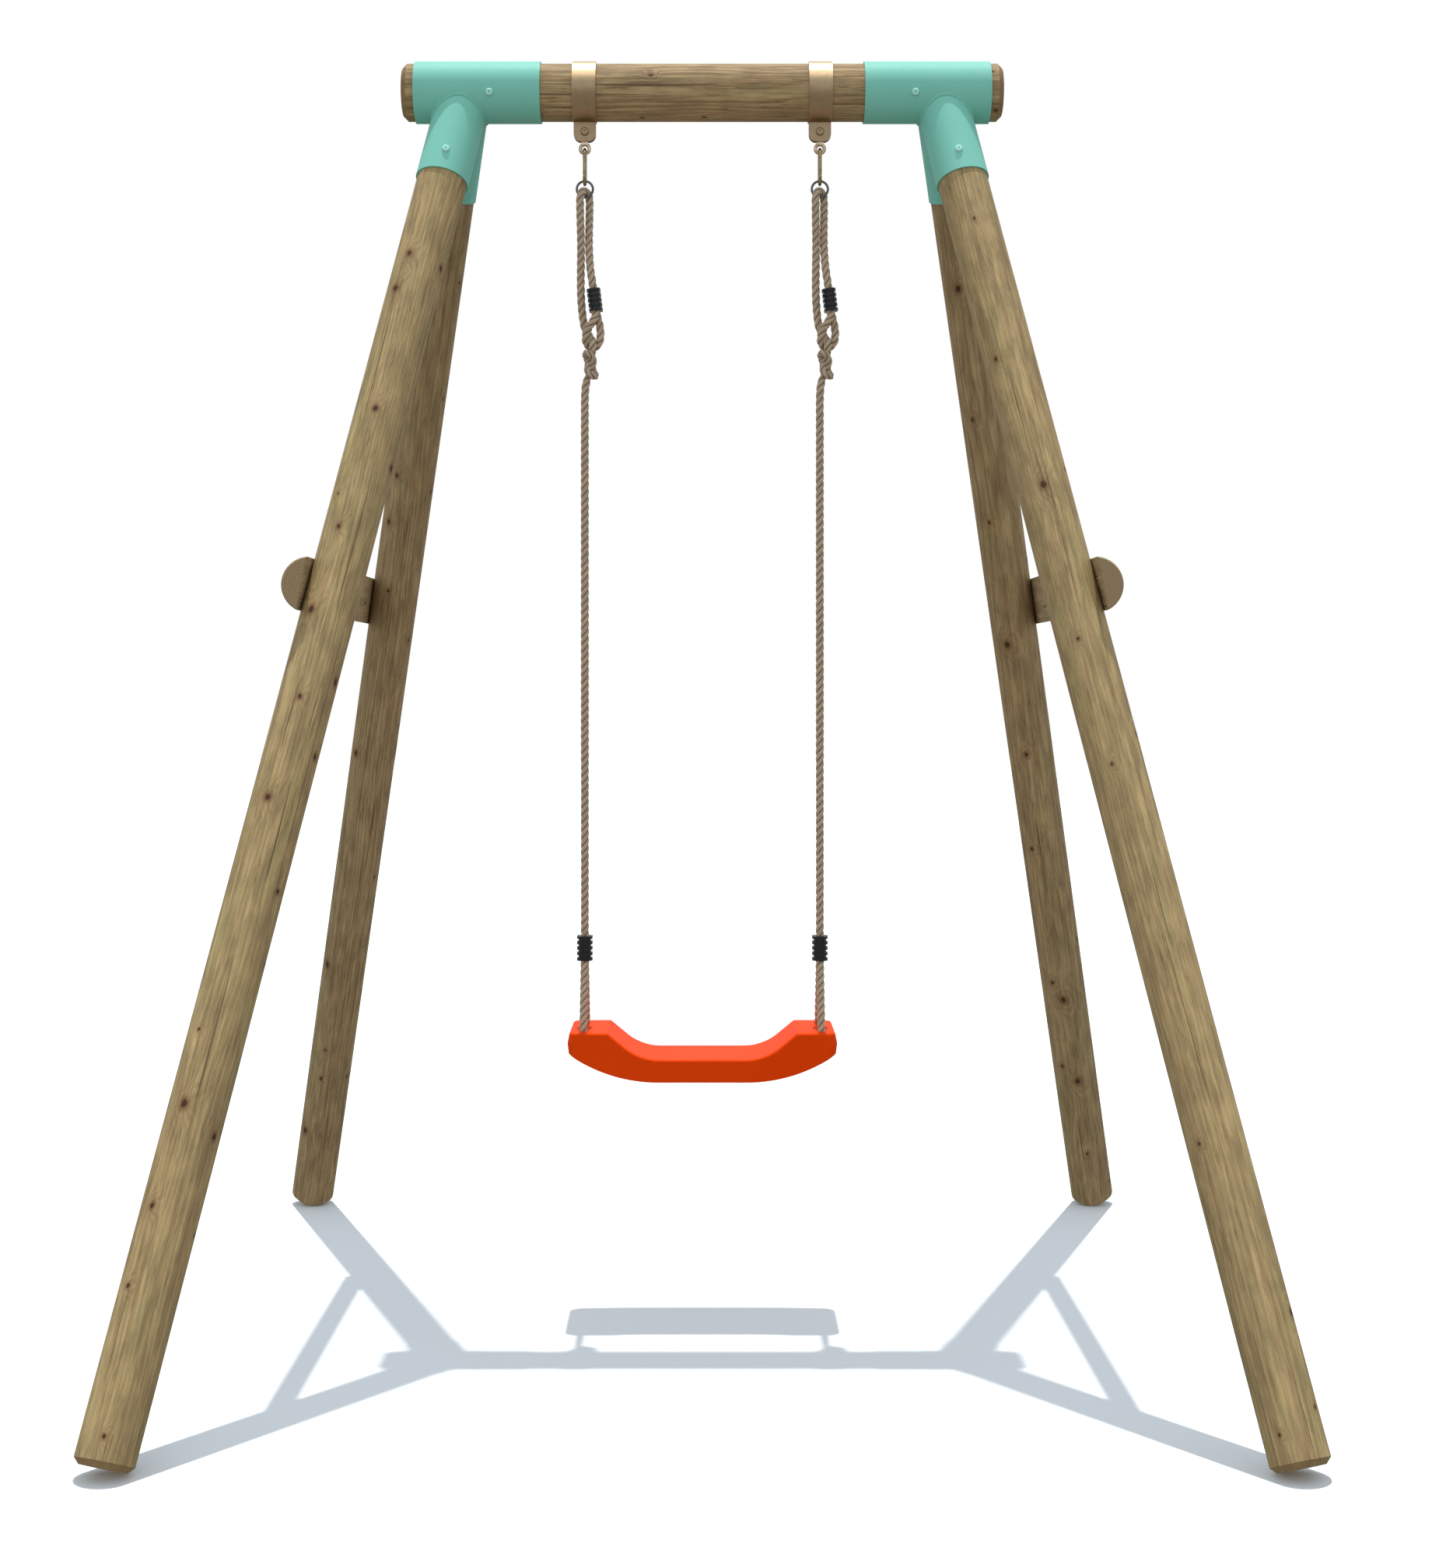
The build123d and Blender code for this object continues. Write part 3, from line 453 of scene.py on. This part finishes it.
def read_route(points):
    """The smooth line that a NURBS spline with these control points makes, as a list of points."""
    curve = bpy.data.curves.new("route", "CURVE")
    curve.dimensions = "3D"
    spline = curve.splines.new("NURBS")
    spline.points.add(len(points) - 1)
    for place, point in zip(spline.points, points):
        place.co = (*point, 1)
    spline.order_u = 3
    spline.use_endpoint_u = True
    spline.resolution_u = ROUTE_STEPS
    holder = bpy.data.objects.new("route", curve)
    mesh = bpy.data.meshes.new_from_object(holder)
    line = [v.co.copy() for v in mesh.vertices]
    bpy.data.objects.remove(holder)
    bpy.data.curves.remove(curve)
    bpy.data.meshes.remove(mesh)
    return line


def even_steps(line, step):
    """Points along the line about one step apart, ends included, and their distances along it."""
    gaps = [(b - a).length for a, b in zip(line, line[1:])]
    far = np.concatenate([[0], np.cumsum(gaps)])
    count = max(2, round(far[-1] / step)) + 1
    at = np.linspace(0, far[-1], count)
    co = np.array([tuple(p) for p in line])
    return [Vector(p) for p in np.stack([np.interp(at, far, co[:, k]) for k in range(3)], axis=1)], at


def laid_section():
    """The rope's outline as (angle, radius, groove): three round strands pressed together."""
    count = STRANDS * POINTS_PER_STRAND
    outline = []
    for k in range(count):
        angle = 2 * math.pi * k / count
        off = (angle + math.pi / STRANDS) % (2 * math.pi / STRANDS) - math.pi / STRANDS
        reach = STRAND_OFFSET * math.cos(off)
        radius = reach + math.sqrt(STRAND_RADIUS ** 2 - (STRAND_OFFSET * math.sin(off)) ** 2)
        outline.append((angle, radius, (abs(off) * STRANDS / math.pi) ** 2))
    return outline


def laid_rope(name, points, material, thin=None):
    """A laid rope along the route, with attributes for its grooves and its lay, and its centreline. thin
    gives the rope's share of its free diameter at a point, where a tight knot squeezes it."""
    line, far = even_steps(read_route(points), RING_STEP)
    outline = laid_section()
    count = len(outline)
    vertices, grooves, lays = [], [], []
    tangent = (line[1] - line[0]).normalized()
    normal = tangent.orthogonal().normalized()
    for i, (centre, distance) in enumerate(zip(line, far)):
        ahead = (line[min(i + 1, len(line) - 1)] - line[max(i - 1, 0)]).normalized()
        normal = tangent.rotation_difference(ahead) @ normal
        tangent = ahead
        normal = (normal - normal.project(tangent)).normalized()
        other = tangent.cross(normal)
        share = thin(centre) if thin else 1.0
        for angle, radius, groove in outline:
            turn = angle + 2 * math.pi * distance / LAY
            reach = radius * share
            vertices.append(centre + normal * (reach * math.cos(turn)) + other * (reach * math.sin(turn)))
            grooves.append(groove)
            lays.append((turn / (2 * math.pi), distance, 0))
    faces = []
    for i in range(len(line) - 1):
        faces += joined_rings(i * count, (i + 1) * count, count)
    faces.append(tuple(reversed(range(count))))
    faces.append(tuple(range((len(line) - 1) * count, len(line) * count)))
    rope = smooth_piece(name, vertices, faces, material)
    rope.data.attributes.new("groove", "FLOAT", "POINT").data.foreach_set("value", grooves)
    flat = [x for lay in lays for x in lay]
    rope.data.attributes.new("lay", "FLOAT_VECTOR", "POINT").data.foreach_set("vector", flat)
    return rope, line


def squeezed(point):
    """The rope is thinner where the knot pulls it tight."""
    low, high = KNOT_SPAN
    into = min(point.z - low, high - point.z) / KNOT_EASE
    share = max(0.0, min(1.0, 0.5 + into))
    return 1 + (KNOT_SQUEEZE - 1) * share


def ropes():
    """On each side, the long rope with its knot and eye, and the short one that holds the seat."""
    rope_material = hemp("hemp_rope")
    for side, sign in SIDES.items():
        route = [(sign * ROPE_X + x, y, z) for x, y, z in ROPE_ROUTE]
        rope, line = laid_rope(f"{side}_rope", route, rope_material, squeezed)
        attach(rope, f"{side}_rope")
        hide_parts(f"{side}_main_rope", f"{side}_rope_knot", f"{side}_noose_rope", f"{side}_eye_rope")
        route = [(sign * ROPE_X + x, y, z) for x, y, z in SEAT_ROUTE]
        rope, line = laid_rope(f"{side}_seat_strands", route, rope_material)
        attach(rope, "seat")
        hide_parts(f"{side}_seat_rope")


# ---------------------------------------------------------------- welds

WELD_STEPS, BEAD_SIDES = 96, 10
BEAD_RADIUS, BEAD_RIPPLE = 0.0024, 0.16


def socket_edge(foot, apex):
    """The line where a leg's socket meets the sleeve, as (point, direction away from the leg's axis)."""
    down = (foot - apex).normalized()
    across = down.cross(Vector((1, 0, 0))).normalized()
    third = down.cross(across)
    line = []
    for i in range(WELD_STEPS):
        angle = 2 * math.pi * i / WELD_STEPS
        out = across * math.cos(angle) + third * math.sin(angle)
        base = apex + out * SOCKET_RADIUS
        # The lowest crossing of this line of the socket with the sleeve, in the plane across the beam
        offset = Vector((base.y, base.z - BEAM_Z))
        step = Vector((down.y, down.z))
        a, b = step.dot(step), 2 * offset.dot(step)
        c = offset.dot(offset) - SLEEVE_RADIUS ** 2
        reach = (-b + math.sqrt(max(0.0, b * b - 4 * a * c))) / (2 * a)
        line.append((base + down * reach, out))
    return line


def bead_shape(line):
    """The vertices and faces of a closed bead along the line, thicker at every other step."""
    vertices, faces = [], []
    for i, (centre, out) in enumerate(line):
        before, after = line[i - 1][0], line[(i + 1) % WELD_STEPS][0]
        tangent = (after - before).normalized()
        normal = (out - out.project(tangent)).normalized()
        other = tangent.cross(normal)
        radius = BEAD_RADIUS * (1 + BEAD_RIPPLE * (i % 2))
        for k in range(BEAD_SIDES):
            turn = 2 * math.pi * k / BEAD_SIDES
            vertices.append(centre + (normal * math.cos(turn) + other * math.sin(turn)) * radius)
        faces += joined_rings(i * BEAD_SIDES, (i + 1) % WELD_STEPS * BEAD_SIDES, BEAD_SIDES)
    return vertices, faces


def weld_beads(paint):
    """A weld bead where each leg socket runs into the sleeve."""
    for side, sign in SIDES.items():
        for where, depth in DEPTHS.items():
            name = f"{side}_{where}_weld"
            bead = smooth_piece(name, *bead_shape(socket_edge(*leg_axis(sign, depth))), paint)
            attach(bead, "frame")


# ---------------------------------------------------------------- studio

FLOOR_REACH = 30
FLOOR_SHADE = rgb(0.76, 0.79, 0.80)
WHITE = rgb(1, 1, 1)
SKY = rgb(0.75, 0.81, 0.88)
GROUND_LIGHT = rgb(0.39, 0.38, 0.36)
GROUND_ENDS, SKY_STARTS = 0.40, 0.60  # shares of the way from straight down to straight up
SUN_ENERGY = 2.8
SUN_ANGLE = math.radians(0.6)
SUN_DIRECTION = (0, -0.139, -1)
FILL_PLACE, FILL_TOWARD, FILL_SIZE, FILL_ENERGY = (-1.2, -5.5, 2.2), (0, 0, 1.1), (3.0, 2.0), 34
STRIP_PLACE, STRIP_SIZE, STRIP_ENERGY = (0, -1.55, 5.0), (4.0, 0.30), 26


def lamp(name, kind, energy, direction, place=(0, 0, 0)):
    """A light of that kind, which shines in that direction."""
    data = bpy.data.lights.new(name, kind)
    data.energy = energy
    holder = bpy.data.objects.new(name, data)
    holder.location = place
    holder.rotation_euler = Vector(direction).to_track_quat("-Z", "Y").to_euler()
    bpy.context.scene.collection.objects.link(holder)
    return holder


def area_light(name, place, toward, size, energy):
    """A rectangular light at a place, turned toward a point."""
    holder = lamp(name, "AREA", energy, Vector(toward) - Vector(place), place)
    holder.data.shape = "RECTANGLE"
    holder.data.size, holder.data.size_y = size
    return holder


def white_floor():
    """A plain floor. Its bounce would wash out the undersides, so it gives none, and the world's lower
    half gives the light from below."""
    corners = [(x * FLOOR_REACH, y * FLOOR_REACH, 0) for x, y in ((-1, -1), (1, -1), (1, 1), (-1, 1))]
    mesh = bpy.data.meshes.new("floor")
    mesh.from_pydata(corners, [], [(0, 1, 2, 3)])
    floor = bpy.data.objects.new("floor", mesh)
    bpy.context.scene.collection.objects.link(floor)
    matt = Graph("white_floor").finish(Base_Color=FLOOR_SHADE, Roughness=0.9, Specular_IOR_Level=0.0)
    mesh.materials.append(matt)
    floor.visible_diffuse = False
    floor.visible_glossy = False


def lights():
    """A sun from above, a weak fill from the front and a strip above that only gloss shows."""
    sun = lamp("top_light", "SUN", SUN_ENERGY, SUN_DIRECTION)
    sun.data.angle = SUN_ANGLE
    fill = area_light("front_fill", FILL_PLACE, FILL_TOWARD, FILL_SIZE, FILL_ENERGY)
    fill.visible_glossy = False
    strip = area_light("top_strip", STRIP_PLACE, (0, 0, BEAM_Z), STRIP_SIZE, STRIP_ENERGY)
    strip.visible_diffuse = False


def sky():
    """An even pale sky over a darker ground for the object, and plain white for the background."""
    world = bpy.data.worlds.new("studio")
    bpy.context.scene.world = world
    world.use_nodes = True
    tree = world.node_tree
    tree.nodes.clear()
    place = tree.nodes.new("ShaderNodeTexCoord")
    split = tree.nodes.new("ShaderNodeSeparateXYZ")
    # How far up the direction points: Z from -1..1 to 0..1
    rise = tree.nodes.new("ShaderNodeMath")
    rise.operation = "MULTIPLY_ADD"
    rise.inputs[1].default_value = rise.inputs[2].default_value = 0.5
    ramp = tree.nodes.new("ShaderNodeValToRGB")
    ground, above = ramp.color_ramp.elements
    ground.position, ground.color = GROUND_ENDS, GROUND_LIGHT
    above.position, above.color = SKY_STARTS, SKY
    ambient = tree.nodes.new("ShaderNodeBackground")
    seen = tree.nodes.new("ShaderNodeBackground")
    seen.inputs["Color"].default_value = WHITE
    path = tree.nodes.new("ShaderNodeLightPath")
    mix = tree.nodes.new("ShaderNodeMixShader")
    out = tree.nodes.new("ShaderNodeOutputWorld")
    tree.links.new(place.outputs["Generated"], split.inputs[0])
    tree.links.new(split.outputs["Z"], rise.inputs[0])
    tree.links.new(rise.outputs[0], ramp.inputs[0])
    tree.links.new(ramp.outputs[0], ambient.inputs["Color"])
    tree.links.new(path.outputs["Is Camera Ray"], mix.inputs[0])
    tree.links.new(ambient.outputs[0], mix.inputs[1])
    tree.links.new(seen.outputs[0], mix.inputs[2])
    tree.links.new(mix.outputs[0], out.inputs[0])


def studio():
    """White floor, plain soft light and a plain display transform."""
    white_floor()
    lights()
    sky()
    bpy.context.scene.view_settings.view_transform = "Standard"


CAMERA_PLACE = (0, -3.913, 1.0455)
LENS = 53.57
SHIFT = (0.0087, -0.0612)


def camera():
    """Level, from the front, with a small shift for the framing."""
    data = bpy.data.cameras.new("camera")
    data.lens = LENS
    data.shift_x, data.shift_y = SHIFT
    holder = bpy.data.objects.new("camera", data)
    holder.location = CAMERA_PLACE
    holder.rotation_euler = (math.radians(90), 0, 0)
    bpy.context.scene.collection.objects.link(holder)
    bpy.context.scene.camera = holder


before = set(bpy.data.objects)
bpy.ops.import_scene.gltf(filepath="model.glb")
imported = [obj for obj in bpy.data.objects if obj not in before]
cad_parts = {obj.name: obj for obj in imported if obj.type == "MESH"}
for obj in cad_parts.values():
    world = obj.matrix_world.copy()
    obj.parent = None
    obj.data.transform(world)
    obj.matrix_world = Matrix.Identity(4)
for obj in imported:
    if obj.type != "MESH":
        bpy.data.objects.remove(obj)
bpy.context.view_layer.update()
camera()
ropes()
timber()
weld_beads(metal_and_plastic())
studio()
